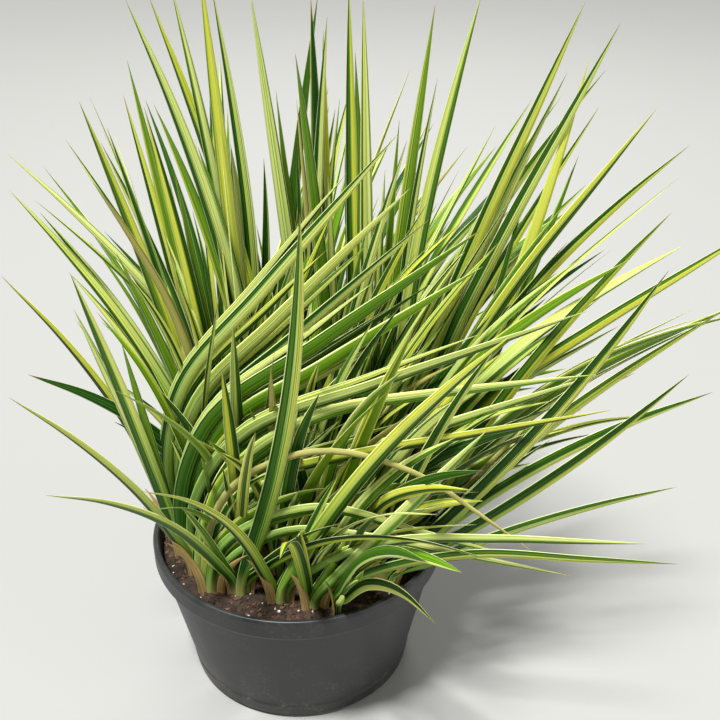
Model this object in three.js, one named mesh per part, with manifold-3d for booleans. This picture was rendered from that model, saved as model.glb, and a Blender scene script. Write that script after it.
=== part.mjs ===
// A potted golden Japanese sweet flag: a squat round pot, its potting mix, and a clump of leaf fans.
// Sweet flag grows as flat fans. Each fan is one shoot: sword-shaped blades rise side by side from the
// tip of a short rhizome, so a fan is one solid, a foot with its blades, planted in a socket in the mix.
// Millimetres, +Z up. The origin is the centre of the pot's underside, and +X is right seen from the front.

import * as THREE from "three";
import { mergeVertices } from "three/addons/utils/BufferGeometryUtils.js";
import Module from "manifold-3d";

const wasm = await Module();
wasm.setup();

// Pot
const potHeight = 112;
const rimRadius = 104;
const baseRadius = 80;
const wallThickness = 2.2;
const floorThickness = 3;
const rimBandHeight = 16;
const rimBandStep = 2.4;
const potSides = 24;
const drainHoleRadius = 5.5;
const drainHoleCircle = 54;
const drainHoleCount = 5;

// Potting mix
const headspace = 10;
const edgeDrop = 3;
const plateauRadius = 94;
const gap = 0.3;

// Leaf fans
const footLength = 17;
const footThickness = 7;
const footAboveSoil = 10;
const footBelowSoil = 12;
const rootWidth = 2.6;
const rootSpacing = 3.1;
const rootStagger = 1.6;
const rootDepth = 1.6;
const bladeRidge = 1.5;
const clearance = 0.45;
const leastEdge = 0.06;
const leastAltitude = 0.03;
const clumpRadius = 84;
const spiralPlaces = 46;
const sweep = 11;

const soilLevel = potHeight - headspace;
const innerRimRadius = rimRadius - rimBandStep - wallThickness;
const up = new THREE.Vector3(0, 0, 1);
const radians = THREE.MathUtils.degToRad;

// One repeatable stream of numbers from 0 to 1.
function seededRandom(seed) {
  let state = seed;
  return () => {
    state = (state + 0x6d2b79f5) | 0;
    let mixed = Math.imul(state ^ (state >>> 15), 1 | state);
    mixed = (mixed + Math.imul(mixed ^ (mixed >>> 7), 61 | mixed)) ^ mixed;
    return ((mixed ^ (mixed >>> 14)) >>> 0) / 4294967296;
  };
}
const random = seededRandom(5);
const around = (middle, spread) => middle + (2 * random() - 1) * spread;

// A closed three.js geometry as a solid, its faces turned to point out.
function solidFrom(geometry) {
  const bare = geometry.clone();
  bare.deleteAttribute("normal");
  bare.deleteAttribute("uv");
  const merged = mergeVertices(bare, 1e-4);
  const vertProperties = merged.attributes.position.array;
  const triVerts = new Uint32Array(merged.index.array);
  const solid = new wasm.Manifold(new wasm.Mesh({ numProp: 3, vertProperties, triVerts }));
  if (solid.volume() > 0) return solid;
  return new wasm.Manifold(new wasm.Mesh({ numProp: 3, vertProperties, triVerts: triVerts.reverse() }));
}

function geometryFrom(solid) {
  const { vertProperties, triVerts } = solid.getMesh();
  const geometry = new THREE.BufferGeometry();
  geometry.setAttribute("position", new THREE.BufferAttribute(vertProperties, 3));
  geometry.setIndex(new THREE.BufferAttribute(triVerts, 1));
  const faceted = geometry.toNonIndexed();
  faceted.computeVertexNormals();
  return faceted;
}

// A profile of [radius, height] points turned round the Z axis.
function lathed(profile, sides) {
  const points = profile.map(([radius, height]) => new THREE.Vector2(radius, height));
  return solidFrom(new THREE.LatheGeometry(points, sides).rotateX(Math.PI / 2));
}

const wallRadiusAt = (height) => THREE.MathUtils.lerp(baseRadius, rimRadius - rimBandStep, height / potHeight);

function makePot() {
  const bandFoot = potHeight - rimBandHeight;
  const shell = lathed(
    [
      [0, 0],
      [baseRadius - 2, 0],
      [wallRadiusAt(2), 2],
      [wallRadiusAt(bandFoot), bandFoot],
      [rimRadius, bandFoot + 1.5],
      [rimRadius, potHeight - 1.5],
      [rimRadius - 1.5, potHeight],
      [innerRimRadius, potHeight],
      [wallRadiusAt(floorThickness) - wallThickness, floorThickness],
      [0, floorThickness],
    ],
    potSides,
  );
  const holeSides = 8;
  let pot = shell;
  for (let i = 0; i < drainHoleCount; i++) {
    const angle = (2 * Math.PI * i) / drainHoleCount;
    const hole = new THREE.CylinderGeometry(drainHoleRadius, drainHoleRadius, 4 * floorThickness, holeSides);
    hole.rotateX(Math.PI / 2);
    hole.translate(drainHoleCircle * Math.cos(angle), drainHoleCircle * Math.sin(angle), 0);
    pot = pot.subtract(solidFrom(hole));
  }
  return pot;
}

// The mix fills the pot to the headspace, level but for its edge.
function makeSoil() {
  const radiusAt = (height) => {
    const share = (height - floorThickness) / (potHeight - 1.5 - floorThickness);
    return THREE.MathUtils.lerp(wallRadiusAt(floorThickness) - wallThickness, innerRimRadius, share) - 2 * gap;
  };
  const bottom = floorThickness + gap;
  const edge = soilLevel - edgeDrop;
  return lathed(
    [
      [0, bottom],
      [radiusAt(bottom), bottom],
      [radiusAt(edge), edge],
      [plateauRadius, soilLevel],
      [0, soilLevel],
    ],
    potSides,
  );
}

// A blade's outline: narrow where it joins the foot, widest by a tenth of its length, then a long taper.
function bladeWidth(width, t) {
  const opening = Math.min(1, t / 0.1);
  return THREE.MathUtils.lerp(rootWidth, width, opening) * (1 - Math.pow(t, 3.2));
}

// The steps of a course, of 40, that get a ring of the solid's corners.
function pickedSteps(length, arch) {
  if (length < 245) return [0, 5, 18, 31, 40];
  if (Math.abs(arch) < 60) return [0, 4, 14, 25, 34, 40];
  return [0, 4, 12, 20, 28, 34, 40];
}

// A blade's course. It leaves the foot with a lean, to the right in the fan's plane, and a nod, to the
// front. Between the two shares of its length in bend it arches on to the right and dips to the front.
function bladeStations(course) {
  const { root, inPlane, front, lean, nod, arch, dip = 0, bend = [0, 1.1], twist, length, width, extra = 0 } = course;
  const steps = 40;
  const picked = pickedSteps(length, arch);
  const direction = new THREE.Vector3()
    .addScaledVector(inPlane, Math.tan(radians(lean)))
    .addScaledVector(front, Math.tan(radians(nod)))
    .add(up)
    .normalize();
  const across = inPlane.clone().addScaledVector(direction, -inPlane.dot(direction)).normalize();
  const axis = front.clone().multiplyScalar(-arch).addScaledVector(inPlane, dip);
  const bendAngle = radians(axis.length());
  if (bendAngle > 0) axis.normalize();
  const turn = new THREE.Quaternion();
  const bent = (t) => THREE.MathUtils.smoothstep(t, ...bend);
  const point = root.clone();
  const stations = [];
  for (let i = 0; i <= steps; i++) {
    const t = i / steps;
    if (picked.includes(i)) {
      const spread = bladeWidth(width, t);
      const twisted = across.clone().applyAxisAngle(direction, radians(twist) * t * (2 - t));
      const face = new THREE.Vector3().crossVectors(twisted, direction);
      const ridge = bladeRidge * Math.min(1, spread / 4) + extra;
      const half = spread / 2 + extra;
      const middle = point.clone().addScaledVector(face, -ridge / 3);
      stations.push({
        left: middle.clone().addScaledVector(twisted, -half),
        right: middle.clone().addScaledVector(twisted, half),
        ridge: middle.clone().addScaledVector(face, ridge),
        point: point.clone(),
      });
    }
    turn.setFromAxisAngle(axis, bendAngle * (bent(t + 1 / steps) - bent(t)));
    direction.applyQuaternion(turn);
    across.applyQuaternion(turn);
    point.addScaledVector(direction, length / steps);
  }
  return stations;
}

const centreOf = (points) => points.reduce((sum, p) => sum.add(p), new THREE.Vector3()).divideScalar(points.length);

// A three-cornered skin over the stations, closed below by a cap and above by the blade's point. Where the
// blade twists, each side of a step is split along the diagonal that stands further out.
function bladeSolid(course) {
  const stations = bladeStations(course);
  const tip = stations.pop().point;
  const corners = stations.flatMap(({ left, right, ridge }) => [left, right, ridge]);
  const tipIndex = corners.length;
  const faces = [[0, 1, 2]];
  for (let row = 0; row < stations.length - 1; row++) {
    const core = centreOf(corners.slice(3 * row, 3 * row + 6));
    for (let k = 0; k < 3; k++) {
      const a = 3 * row + k;
      const b = 3 * row + ((k + 1) % 3);
      const out = centreOf([corners[a], corners[b], corners[a + 3], corners[b + 3]]).sub(core);
      const rising = centreOf([corners[a], corners[b + 3]]).dot(out);
      const falling = centreOf([corners[b], corners[a + 3]]).dot(out);
      if (rising > falling) faces.push([a, b + 3, b], [a, a + 3, b + 3]);
      else faces.push([a, a + 3, b], [b, a + 3, b + 3]);
    }
  }
  const last = tipIndex - 3;
  for (let k = 0; k < 3; k++) faces.push([last + k, tipIndex, last + ((k + 1) % 3)]);
  const geometry = new THREE.BufferGeometry().setFromPoints([...corners, tip]);
  geometry.setIndex(faces.flat());
  return solidFrom(geometry);
}

// A four-sided foot, narrower below, with its long side in the fan's plane.
function footSolid(at, inPlane, grown) {
  const height = footAboveSoil + footBelowSoil + 2 * grown;
  const middle = soilLevel + (footAboveSoil - footBelowSoil) / 2;
  const foot = new THREE.CylinderGeometry(Math.SQRT1_2, 0.7 * Math.SQRT1_2, height, 4).rotateY(Math.PI / 4);
  foot.rotateX(Math.PI / 2);
  foot.scale(footLength + 2 * grown, footThickness + 2 * grown, 1);
  foot.rotateZ(Math.atan2(inPlane.y, inPlane.x));
  foot.translate(at[0], at[1], middle);
  return solidFrom(foot);
}

const boxesMeet = (a, b) => [0, 1, 2].every((i) => a.min[i] <= b.max[i] && b.min[i] <= a.max[i]);

// Whatever stands already, with its box, so that a new blade can be tested against what is near.
const standing = [];
const stand = (solid) => standing.push({ solid, box: solid.boundingBox() });

function isClear(solid, others) {
  const box = solid.boundingBox();
  return others.every((other) => !boxesMeet(box, other.box) || solid.intersect(other.solid).isEmpty());
}

// Whether a solid has a triangle too thin to keep its corners apart.
function hasSliver(solid) {
  const { vertProperties, triVerts } = solid.getMesh();
  const corner = (i) => new THREE.Vector3().fromArray(vertProperties, 3 * triVerts[i]);
  for (let i = 0; i < triVerts.length; i += 3) {
    const [a, b, c] = [corner(i), corner(i + 1), corner(i + 2)];
    const sides = [a.distanceTo(b), b.distanceTo(c), c.distanceTo(a)];
    const area = new THREE.Triangle(a, b, c).getArea();
    if (Math.min(...sides) < leastEdge || (2 * area) / Math.max(...sides) < leastAltitude) return true;
  }
  return false;
}

// A blade takes its course as given, or the nearest one near it that touches nothing, and joins its fan.
function growBlade(course, play, fan, brothers) {
  const tries = 110;
  for (let i = 0; i < tries; i++) {
    const looseness = i / tries;
    const moved = {
      ...course,
      lean: around(course.lean, play.lean * looseness),
      nod: around(course.nod, play.nod * looseness),
      arch: around(course.arch, play.arch * looseness),
      twist: around(course.twist, play.twist * looseness),
    };
    const guard = bladeSolid({ ...moved, extra: clearance });
    if (!isClear(guard, standing) || !isClear(guard, brothers)) continue;
    const blade = bladeSolid(moved);
    const joined = fan.add(blade);
    if (hasSliver(joined)) continue;
    brothers.push({ solid: blade, box: blade.boundingBox() });
    return joined;
  }
  return fan;
}

// A fan: a foot in the mix with its blades side by side, every other one a little further forward.
// turned is the angle of the fan's plane from the front view's, in degrees.
function growFan({ name, at, turned = 0, blades, play }) {
  const inPlane = new THREE.Vector3(Math.cos(radians(turned)), Math.sin(radians(turned)), 0);
  const front = new THREE.Vector3().crossVectors(inPlane, up);
  if (!isClear(footSolid(at, inPlane, clearance), standing.slice(1))) return null;
  let solid = footSolid(at, inPlane, 0);
  const brothers = [];
  const inOrder = [...blades].sort((a, b) => a.lean - b.lean);
  inOrder.forEach((blade, i) => {
    const root = new THREE.Vector3(at[0], at[1], soilLevel + footAboveSoil - rootDepth)
      .addScaledVector(inPlane, (i - (inOrder.length - 1) / 2) * rootSpacing)
      .addScaledVector(front, i % 2 ? rootStagger : -rootStagger);
    solid = growBlade({ ...blade, root, inPlane, front }, play, solid, brothers);
  });
  stand(solid);
  return { name, solid, socket: footSolid(at, inPlane, gap) };
}

// The fans that the picture shows best, with their angles in degrees.
const shownFans = [
  {
    name: "back_far_left",
    at: [-52, 22],
    blades: [
      { lean: -17, nod: -3, arch: -22, twist: 30, length: 275, width: 7.6 },
      { lean: -9, nod: 4, arch: -6, twist: 20, length: 320, width: 8.6 },
      { lean: -7, nod: -2, arch: -2, twist: -10, length: 330, width: 8.4 },
      { lean: -4, nod: 4, arch: -6, twist: 8, length: 310, width: 8 },
    ],
  },
  {
    name: "back_left",
    at: [-10, 36],
    blades: [
      { lean: -19, nod: 4, arch: -24, twist: 25, length: 320, width: 6.4 },
      { lean: -9, nod: 2, arch: -12, bend: [0.4, 1.1], twist: 8, length: 375, width: 9.8 },
      { lean: -7, nod: -2, arch: -11, bend: [0.2, 1], twist: -6, length: 370, width: 9.4 },
      { lean: 4, nod: -3, arch: 6, twist: 12, length: 295, width: 7.4 },
    ],
  },
  {
    name: "back_middle_left",
    at: [-30, 51],
    blades: [
      { lean: -2, nod: 3, arch: -7, bend: [0.3, 1], twist: 6, length: 375, width: 8.6 },
      { lean: -1, nod: 1, arch: -1, twist: 4, length: 385, width: 9.8 },
      { lean: 1, nod: 4, arch: -8, bend: [0.3, 1], twist: -14, length: 370, width: 8.4 },
      { lean: 2, nod: -3, arch: -3, twist: 10, length: 365, width: 9.6 },
      { lean: 5, nod: 1, arch: 4, twist: -8, length: 365, width: 8.2 },
    ],
  },
  {
    name: "back_middle",
    at: [18, 46],
    blades: [
      { lean: -4, nod: 4, arch: -1, twist: 6, length: 370, width: 8.6 },
      { lean: -2, nod: -3, arch: 8, twist: -6, length: 355, width: 7.8 },
      { lean: 0, nod: 2, arch: -1, twist: -4, length: 365, width: 9.4 },
      { lean: 3, nod: -2, arch: -3, twist: 12, length: 350, width: 9 },
    ],
  },
  {
    name: "back_middle_right",
    at: [50, 36],
    blades: [
      { lean: -1.5, nod: 3, arch: 1, twist: 0, length: 375, width: 8.8 },
      { lean: 0.5, nod: -2, arch: -1, twist: 6, length: 370, width: 8.6 },
      { lean: 5, nod: 3, arch: 2, twist: -10, length: 365, width: 8.4 },
      { lean: 14, nod: -3, arch: 24, twist: 14, length: 350, width: 8 },
    ],
  },
  {
    name: "back_right",
    at: [69, 27],
    blades: [
      { lean: 4, nod: 2, arch: 9, bend: [0.2, 1], twist: 0, length: 375, width: 9.2 },
      { lean: 9, nod: -2, arch: 12, bend: [0, 0.7], twist: 6, length: 380, width: 9.8 },
      { lean: 12, nod: 3, arch: 12, bend: [0, 0.7], twist: -10, length: 375, width: 9.2 },
      { lean: 20, nod: -2, arch: 26, twist: 12, length: 330, width: 8.4 },
    ],
  },
  {
    name: "right",
    at: [81, 4],
    blades: [
      { lean: 11, nod: 2, arch: 22, bend: [0, 0.8], twist: 8, length: 345, width: 8.8 },
      { lean: 21, nod: -3, arch: -9, twist: 0, length: 345, width: 8.4 },
      { lean: 16, nod: 2, arch: 36, bend: [0, 0.6], twist: -8, length: 330, width: 8.6 },
      { lean: 34, nod: -3, arch: 30, bend: [0, 0.9], twist: 14, length: 280, width: 8 },
    ],
  },
  {
    name: "left",
    at: [-82, -6],
    blades: [
      { lean: -12, nod: 4, arch: -24, twist: -20, length: 230, width: 7.8 },
      { lean: -9, nod: -2, arch: 47, bend: [0.05, 0.5], twist: 0, length: 350, width: 9.2 },
      { lean: -5, nod: 4, arch: 47, bend: [0.05, 0.5], twist: 6, length: 325, width: 9 },
      { lean: 0, nod: -2, arch: 46, bend: [0.05, 0.5], twist: 12, length: 310, width: 8.4 },
    ],
  },
  {
    name: "left_front",
    at: [-77, -27],
    blades: [
      { lean: -9, nod: 6, arch: -4, twist: 0, length: 230, width: 8.6 },
      { lean: 0, nod: 2, arch: 51, bend: [0.1, 0.45], twist: 0, length: 335, width: 9.8 },
      { lean: 3, nod: 6, arch: 50, bend: [0.1, 0.45], twist: 4, length: 315, width: 9.8 },
      { lean: 5, nod: 2, arch: 60, bend: [0.05, 0.5], twist: 4, length: 360, width: 9 },
    ],
  },
  {
    name: "front_left",
    at: [-65, -46],
    blades: [
      { lean: -18, nod: 12, arch: -26, twist: -12, length: 190, width: 7.4 },
      { lean: 10, nod: 3, arch: 70, bend: [0, 0.7], twist: 0, length: 335, width: 8.6 },
      { lean: 14, nod: 8, arch: 60, bend: [0, 0.5], twist: 4, length: 320, width: 8 },
      { lean: 28, nod: 3, arch: 42, bend: [0, 0.5], twist: 6, length: 310, width: 8.8 },
    ],
  },
  {
    name: "front_low",
    at: [-56, -64],
    blades: [
      { lean: 2, nod: 5, arch: 126, bend: [0, 0.85], twist: 0, length: 315, width: 6.4 },
      { lean: 10, nod: 2, arch: 96, bend: [0, 0.6], twist: 0, length: 240, width: 7.8 },
      { lean: 26, nod: 8, arch: 72, bend: [0, 0.5], twist: 8, length: 260, width: 7.6 },
    ],
  },
  {
    name: "front_upright",
    at: [-36, -67],
    blades: [
      { lean: -20, nod: 18, arch: -20, dip: 26, twist: 12, length: 190, width: 7 },
      { lean: 17, nod: 3, arch: -15, twist: 0, length: 285, width: 9.8 },
      { lean: 36, nod: 20, arch: 50, dip: 20, twist: 0, length: 200, width: 7.4 },
    ],
  },
  {
    name: "front_middle",
    at: [-9, -75],
    blades: [
      { lean: -12, nod: 16, arch: -16, dip: 30, twist: 0, length: 190, width: 7.4 },
      { lean: 25, nod: 3, arch: 20, twist: 0, length: 250, width: 9.8 },
      { lean: 40, nod: 10, arch: 46, bend: [0, 0.6], twist: 0, length: 250, width: 7.8 },
    ],
  },
  {
    name: "front",
    at: [14, -80],
    blades: [
      { lean: -4, nod: 20, arch: 4, dip: 46, twist: 10, length: 180, width: 7 },
      { lean: 36, nod: 4, arch: 0, twist: 0, length: 180, width: 8.6 },
      { lean: 48, nod: 10, arch: 40, bend: [0, 0.6], twist: 0, length: 240, width: 7.8 },
    ],
  },
  {
    name: "front_right",
    at: [61, -57],
    blades: [
      { lean: 12, nod: 6, arch: 16, twist: 0, length: 210, width: 7.6 },
      { lean: 41, nod: 2, arch: -14, twist: 0, length: 285, width: 9.4 },
      { lean: 54, nod: 4, arch: -14, twist: 6, length: 245, width: 9.2 },
      { lean: 60, nod: 2, arch: 14, twist: 12, length: 200, width: 8.2 },
    ],
  },
  {
    name: "front_far_right",
    at: [77, -34],
    blades: [
      { lean: 24, nod: 2, arch: 14, twist: 0, length: 300, width: 8.8 },
      { lean: 34, nod: 6, arch: 16, twist: 6, length: 275, width: 8.8 },
      { lean: 44, nod: 2, arch: 22, twist: -6, length: 235, width: 8.4 },
    ],
  },
];

// The rest of the clump fills a spiral of places. A fan leans out more the further it is from the middle,
// and the whole clump sweeps a little to the right. The fans at the front are younger and stay lower.
const frontShare = 0.68;
function commonFan(place) {
  const radius = clumpRadius * Math.sqrt((place + 0.5) / spiralPlaces);
  const angle = place * Math.PI * (3 - Math.sqrt(5));
  const at = [radius * Math.cos(angle), radius * Math.sin(angle)];
  const turned = random() < 0.6 ? around(0, 35) : around(0, 90);
  const outwards = 2 + 18 * Math.pow(radius / clumpRadius, 1.3);
  const heading = angle - radians(turned);
  const lean = outwards * Math.cos(heading) + sweep * Math.cos(radians(turned));
  const nod = -outwards * Math.sin(heading) + sweep * Math.sin(radians(turned));
  const size = around(0.95, 0.09) * (at[1] < 0 && Math.abs(at[0]) < 60 ? frontShare : 1);
  const shares = [0.66, 0.95, 1, 0.9, 0.64];
  const blades = shares.map((share, i) => {
    const bladeLean = around(lean + (i - 2) * 7, 3);
    const bladeNod = around(nod * 0.8, 5);
    const bending = around(10 + 8 * Math.abs(i - 2) + outwards, 9);
    const towards = Math.atan2(bladeNod, bladeLean);
    return {
      lean: bladeLean,
      nod: bladeNod,
      arch: bending * Math.cos(towards),
      dip: bending * Math.sin(towards),
      bend: [around(0.1, 0.1), around(1.05, 0.2)],
      twist: around(0, 50),
      length: around(310 * share * size, 10),
      width: around(8.2, 0.9) * (0.75 + 0.25 * share),
    };
  });
  return { name: String(place + 1).padStart(2, "0"), at, turned, blades };
}

const pot = makePot();
let soil = makeSoil();
stand(soil);
stand(pot);

// How far, in degrees, a blade may move from its course to find a place.
const shownPlay = { lean: 2.5, nod: 14, arch: 6, twist: 20 };
const commonPlay = { lean: 14, nod: 16, arch: 25, twist: 40 };
const fans = shownFans.map((fan) => growFan({ ...fan, play: shownPlay }));
for (let place = 0; place < spiralPlaces; place++) fans.push(growFan({ ...commonFan(place), play: commonPlay }));
const grownFans = fans.filter((fan) => fan);
for (const { socket } of grownFans) soil = soil.subtract(socket);

const plastic = new THREE.MeshStandardMaterial({ color: 0x26282a, roughness: 0.55, metalness: 0 });
const mix = new THREE.MeshStandardMaterial({ color: 0x3a2a1e, roughness: 0.95, metalness: 0 });
const leafColours = [0xd6d873, 0xb9c65a, 0xe2dc8c, 0x8fa848, 0xcfd45f];

const plant = new THREE.Group();
function addPiece(name, solid, material) {
  const mesh = new THREE.Mesh(geometryFrom(solid), material);
  mesh.name = name;
  plant.add(mesh);
}
addPiece("pot", pot, plastic);
addPiece("potting_mix", soil, mix);
grownFans.forEach(({ name, solid }, i) => {
  const colour = leafColours[i % leafColours.length];
  addPiece(`leaf_fan_${name}`, solid, new THREE.MeshStandardMaterial({ color: colour, roughness: 0.45, metalness: 0 }));
});

export default plant;
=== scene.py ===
# %% [markdown]
# # A potted golden Japanese sweet flag
#
# Sweet flag is a marsh plant that looks like grass but grows like an iris. Each shoot is a flat fan of
# sword-shaped leaves that clasp each other at the foot. The imported model already holds the pot, the
# potting mix and one solid for every fan, so this script only dresses them. It reads the course of every
# blade from the fan's solid and grows a real leaf along it.
#
# First the tools, and the imported model.

# %% Load the imported model
import math
import random

import bmesh
import bpy
import numpy as np
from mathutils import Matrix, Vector


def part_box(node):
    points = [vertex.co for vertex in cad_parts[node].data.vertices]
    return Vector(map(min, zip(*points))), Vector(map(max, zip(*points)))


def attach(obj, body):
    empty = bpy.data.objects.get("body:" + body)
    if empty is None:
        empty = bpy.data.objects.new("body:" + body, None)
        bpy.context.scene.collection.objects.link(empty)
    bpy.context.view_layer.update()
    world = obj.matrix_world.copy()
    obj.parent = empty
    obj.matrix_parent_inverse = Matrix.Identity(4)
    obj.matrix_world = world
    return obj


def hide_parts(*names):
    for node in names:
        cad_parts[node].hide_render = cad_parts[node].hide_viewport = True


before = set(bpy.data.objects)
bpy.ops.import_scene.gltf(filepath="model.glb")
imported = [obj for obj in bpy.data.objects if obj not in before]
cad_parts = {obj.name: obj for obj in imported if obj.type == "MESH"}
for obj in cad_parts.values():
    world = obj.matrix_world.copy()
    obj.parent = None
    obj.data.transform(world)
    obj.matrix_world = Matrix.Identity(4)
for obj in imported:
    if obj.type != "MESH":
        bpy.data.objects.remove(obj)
bpy.context.view_layer.update()
MM = 0.001
fans = sorted(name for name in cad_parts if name.startswith("leaf_fan_"))

# %% [markdown]
# ## Camera and light
#
# The picture looks down into the clump from a little above it, close by. A fairly long lens keeps the
# blades' proportions. The clump is lit as on a bright day: one strong light high up in front, a weak one
# from the right, and one from behind that makes the leaves glow at their edges. The strong light stands
# several metres off, so that it falls evenly on leaves and floor. The sky itself is kept dim, so the gaps
# between the leaves stay dark. Blender's filmic view would fade such strong yellows, so the plain standard
# view is chosen.


# %% Place the camera
def scene_object(name, data):
    """A new object, linked into the scene."""
    obj = bpy.data.objects.new(name, data)
    bpy.context.collection.objects.link(obj)
    return obj


look_at = Vector((45, 0, 248)) * MM
distance = 730 * MM
elevation = math.radians(30)

camera = scene_object("camera", bpy.data.cameras.new("camera"))
camera.data.lens = 55
camera.data.sensor_width = 36
camera.location = look_at + distance * Vector((0, -math.cos(elevation), math.sin(elevation)))
camera.rotation_euler = (math.pi / 2 - elevation, 0, 0)
bpy.context.scene.camera = camera
print("camera at", [round(v, 3) for v in camera.location])


# %% Place the lights
def soft_light(name, place, size, watts):
    """A round light that faces the clump. Its place and size are in metres."""
    light = scene_object(name, bpy.data.lights.new(name, "AREA"))
    light.data.shape = "DISK"
    light.data.size = size
    light.data.energy = watts
    light.location = place
    light.rotation_euler = (look_at - light.location).to_track_quat("-Z", "Y").to_euler()


soft_light("overhead_light", (-1.5, -1.95, 7.5), size=1.14, watts=1090)
soft_light("side_light", (1.6, -0.9, 0.9), size=0.9, watts=7)
soft_light("back_light", (0.2, 1.6, 1.3), size=0.8, watts=9)
bpy.context.scene.view_settings.view_transform = "Standard"

world = bpy.data.worlds.new("studio")
world.use_nodes = True
sky = world.node_tree.nodes["Background"].inputs
sky["Color"].default_value = (1.0, 0.985, 0.94, 1)
sky["Strength"].default_value = 0.32
bpy.context.scene.world = world
print("lights: 3")

# %% [markdown]
# ## Small helpers
#
# Colours are written as a painter would mix them, from 0 to 255, and turned into the linear values that
# the renderer uses. Nodes are added by one short call each, which sets their options and joins their
# inputs, so that a tree reads from its start to its end.


# %% Helpers for colours and nodes
def paint(red, green, blue):
    def linear(value):
        value /= 255
        return value / 12.92 if value <= 0.04045 else ((value + 0.055) / 1.055) ** 2.4

    return linear(red), linear(green), linear(blue), 1.0


class Nodes:
    """Adds nodes to one tree. Inputs are given as {socket name or number: value or another output}."""

    def __init__(self, tree):
        self.tree = tree

    def add(self, kind, inputs=None, **options):
        node = self.tree.nodes.new(kind)
        for name, value in options.items():
            setattr(node, name, value)
        for key, value in (inputs or {}).items():
            if isinstance(value, bpy.types.NodeSocket):
                self.tree.links.new(value, node.inputs[key])
            else:
                node.inputs[key].default_value = value
        return node

    def first(self, kind, inputs=None, **options):
        """Adds a node and gives its first output."""
        return self.add(kind, inputs, **options).outputs[0]

    def math(self, operation, *values, clamp=False):
        inputs = dict(enumerate(values))
        return self.first("ShaderNodeMath", inputs, operation=operation, use_clamp=clamp)

    def times(self, first, second):
        return self.math("MULTIPLY", first, second)

    def gap(self, first, second):
        """How far apart two numbers are."""
        return self.math("ABSOLUTE", self.math("SUBTRACT", first, second))

    def swayed(self, value, noise, amount, clamp=False):
        """A value moved up and down by how far a noise is from its half."""
        return self.math("MULTIPLY_ADD", self.math("SUBTRACT", noise, 0.5), amount, value, clamp=clamp)

    def parts(self, vector):
        """The three numbers of a vector."""
        return self.add("ShaderNodeSeparateXYZ", {0: vector}).outputs

    def ramp(self, value, start, end, low=0.0, high=1.0):
        """A smooth step of value from low at start to high at end."""
        inputs = {"Value": value, "From Min": start, "From Max": end, "To Min": low, "To Max": high}
        return self.first("ShaderNodeMapRange", inputs, interpolation_type="SMOOTHSTEP")

    def blend(self, share, first, second, blend_type="MIX"):
        """Two colours mixed by a share from 0 to 1."""
        inputs = {0: share, 6: first, 7: second}
        return self.add("ShaderNodeMix", inputs, data_type="RGBA", blend_type=blend_type).outputs[2]


def node_group(tree_kind, name, inputs, outputs):
    """An empty node group with named inputs {name: (kind, default)} and outputs {name: kind}."""
    tree = bpy.data.node_groups.new(name, tree_kind)
    identifiers = {}
    for key, (kind, default) in inputs.items():
        socket = tree.interface.new_socket(key, in_out="INPUT", socket_type=f"NodeSocket{kind}")
        if default is not None:
            socket.default_value = default
        identifiers[key] = socket.identifier
    for key, kind in outputs.items():
        tree.interface.new_socket(key, in_out="OUTPUT", socket_type=f"NodeSocket{kind}")
    nodes = Nodes(tree)
    return tree, identifiers, nodes, nodes.add("NodeGroupInput").outputs


def shader_group(name, inputs, outputs):
    tree, _, nodes, given = node_group("ShaderNodeTree", name, inputs, outputs)
    return tree, nodes, given, nodes.add("NodeGroupOutput").inputs


def geometry_tree(name, inputs, output):
    return node_group("GeometryNodeTree", name, inputs, {output: "Geometry"})


def new_material(name):
    """A material with its node helper and its Principled BSDF."""
    material = bpy.data.materials.new(name)
    material.use_nodes = True
    return material, Nodes(material.node_tree), material.node_tree.nodes["Principled BSDF"]


def use_group(nodes, tree, inputs):
    return nodes.add("ShaderNodeGroup", inputs, node_tree=tree).outputs


def end_tree(nodes, geometry, finish):
    """Ends a geometry node group: instances become real, and everything gets its finish."""
    geometry = nodes.first("GeometryNodeRealizeInstances", {"Geometry": geometry})
    finished = nodes.first("GeometryNodeSetMaterial", {"Geometry": geometry, "Material": finish})
    nodes.add("NodeGroupOutput", {0: finished})


def dress(nodes, shader, colour, roughness, relief, strength, distance):
    """Joins a material's colour, roughness and fine relief to its shader."""
    inputs = {"Strength": strength, "Distance": distance, "Height": relief}
    nodes.tree.links.new(colour, shader.inputs["Base Color"])
    nodes.tree.links.new(roughness, shader.inputs["Roughness"])
    nodes.tree.links.new(nodes.first("ShaderNodeBump", inputs), shader.inputs["Normal"])


print("helpers ready")

# %% [markdown]
# ## Effects that several finishes share
#
# Two effects return on this plant. *Mottle* is slow and fine unevenness together, as on bark, soil, old
# leaves and moulded plastic. *Veins* are the fine parallel lines that run the whole length of a leaf. Each
# is one node group with named inputs, built once and given other values in each material.

# %% Build the shared effects
mottle, nodes, given, out = shader_group(
    "Mottle",
    {
        "Place": ("Vector", None),
        "Scale": ("Float", 100.0),
        "Fine share": ("Float", 0.4),
        "Low": ("Float", 0.35),
        "High": ("Float", 0.65),
    },
    {"Amount": "Float", "Height": "Float"},
)
at_place = {"Vector": given["Place"]}
slow = nodes.first("ShaderNodeTexNoise", {**at_place, "Scale": given["Scale"], "Detail": 4.0})
fine_scale = nodes.times(given["Scale"], 7.3)
fine = nodes.first("ShaderNodeTexNoise", {**at_place, "Scale": fine_scale, "Detail": 3.0})
shares = {0: given["Fine share"], 2: slow, 3: fine}
both = nodes.first("ShaderNodeMix", shares, data_type="FLOAT")
nodes.tree.links.new(nodes.ramp(both, given["Low"], given["High"]), out["Amount"])
nodes.tree.links.new(both, out["Height"])

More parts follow.
